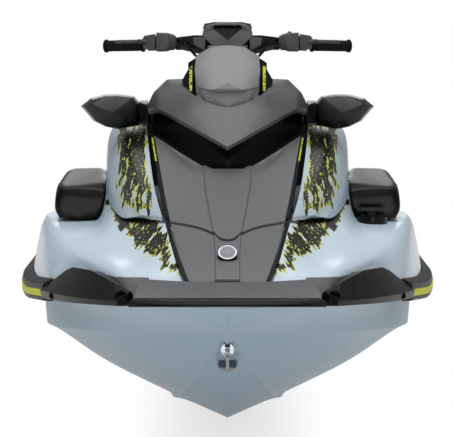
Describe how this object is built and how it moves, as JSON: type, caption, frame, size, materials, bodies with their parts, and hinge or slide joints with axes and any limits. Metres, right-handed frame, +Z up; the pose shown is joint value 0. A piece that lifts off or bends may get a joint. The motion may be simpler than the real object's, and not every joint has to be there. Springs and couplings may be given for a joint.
{
  "type": "personal watercraft",
  "caption": "Sit-on jet-driven watercraft: V hull, deck with footwells, opening hood with mirrors, turning handlebars, padded seat, water-jet pump with steering nozzle and bucket",
  "frame": {"origin": "waterline amidships, on the centreline", "axes": "+X to port, +Y to the stern, +Z up; the bow faces -Y"},
  "size_m": [1.226, 3.383, 1.127],
  "materials": {
    "gelcoat_blue": "glossy gelcoat, light blue-grey",
    "gelcoat_hull": "glossy gelcoat, light blue-grey",
    "hood_grey": "satin metallic grey moulding",
    "cover_grey": "satin light grey moulding",
    "trim_black": "textured black plastic",
    "band_grey": "fine grained dark grey plastic",
    "rubber_black": "ribbed rubber",
    "stripe_yellow": "bright yellow insert",
    "seat_cover": "marine vinyl",
    "deck_mat": "grooved foam mat",
    "stainless": "polished stainless steel",
    "jet_metal": "painted cast aluminium",
    "bronze_grey": "machined stainless steel",
    "engine_grey": "painted casting",
    "mirror_silver": "silvered glass",
    "screen_glass": "glossy display window"
  },
  "bodies": {
    "craft": {"main_hull": "gelcoat_hull", "deck": "gelcoat_blue", "rail_left": "trim_black", "rail_right": "trim_black", "rail_stripes": "stripe_yellow", "bow_cover": "band_grey", "corner_bumper_left": "trim_black", "corner_bumper_right": "trim_black", "nose_panel": "hood_grey", "nose_trim": "trim_black", "badge": "stainless", "storage_bin": "trim_black", "console": "trim_black", "binnacle": "cover_grey", "display": "screen_glass", "speaker_pod_left": "trim_black", "speaker_pod_right": "trim_black", "fuel_cap": "trim_black", "seat_front": "seat_cover", "seat_rear": "seat_cover", "grab_handle": "trim_black", "footwell_mats": "deck_mat", "platform_mat": "deck_mat", "sponsons": "trim_black", "ride_plate": "trim_black", "intake_grate": "trim_black", "pump_housing": "jet_metal", "engine_block": "engine_grey", "bow_eye": "stainless", "stern_eyes": "stainless", "step_hinges": "trim_black"},
    "hood": {"hood_panel": "hood_grey", "hood_side_left": "gelcoat_blue", "hood_side_right": "gelcoat_blue", "hood_recess": "trim_black", "brow": "hood_grey", "hood_wings": "trim_black", "mirror_left": "trim_black", "mirror_right": "trim_black", "mirror_glasses": "mirror_silver"},
    "steering_bars": {"handlebar": "jet_metal", "bar_pad": "cover_grey", "grips": "rubber_black", "switch_housings": "trim_black", "steering_hoses": "rubber_black"},
    "glove_box_lid": {"glove_box_lid": "trim_black"},
    "steering_nozzle": {"steering_nozzle": "jet_metal"},
    "reverse_bucket": {"reverse_bucket": "jet_metal"},
    "impeller": {"impeller": "bronze_grey"},
    "boarding_step": {"boarding_step": "trim_black"}
  },
  "joints": [
    {"name": "hood_hinge", "type": "hinge", "parent": "craft", "child": "hood", "pos_m": [0, -1.1975, 0.296], "axis": [1, 0, 0], "range_deg": [0, 48]},
    {"name": "steering", "type": "hinge", "parent": "craft", "child": "steering_bars", "pos_m": [0, -0.275, 0.76], "axis": [0, 0.4226, 0.9063], "range_deg": [-20, 20]},
    {"name": "glove_box_hinge", "type": "hinge", "parent": "craft", "child": "glove_box_lid", "pos_m": [0, -0.304, 0.586], "axis": [1, 0, 0], "range_deg": [0, 60]},
    {"name": "nozzle_steering", "type": "hinge", "parent": "craft", "child": "steering_nozzle", "pos_m": [0, 1.517, -0.11], "axis": [0, 0, 1], "range_deg": [-23, 23]},
    {"name": "bucket_hinge", "type": "hinge", "parent": "craft", "child": "reverse_bucket", "pos_m": [0, 1.495, -0.11], "axis": [-1, 0, 0], "range_deg": [0, 72]},
    {"name": "impeller_spin", "type": "hinge", "parent": "craft", "child": "impeller", "pos_m": [0, 1.225, -0.11], "axis": [0, 1, 0], "continuous": true},
    {"name": "step_hinge", "type": "hinge", "parent": "craft", "child": "boarding_step", "pos_m": [0, 1.661, -0.055], "axis": [-1, 0, 0], "range_deg": [0, 170]}
  ],
  "couplings": [
    {"joint": "nozzle_steering", "follows": "steering", "ratio": -1.15}
  ]
}
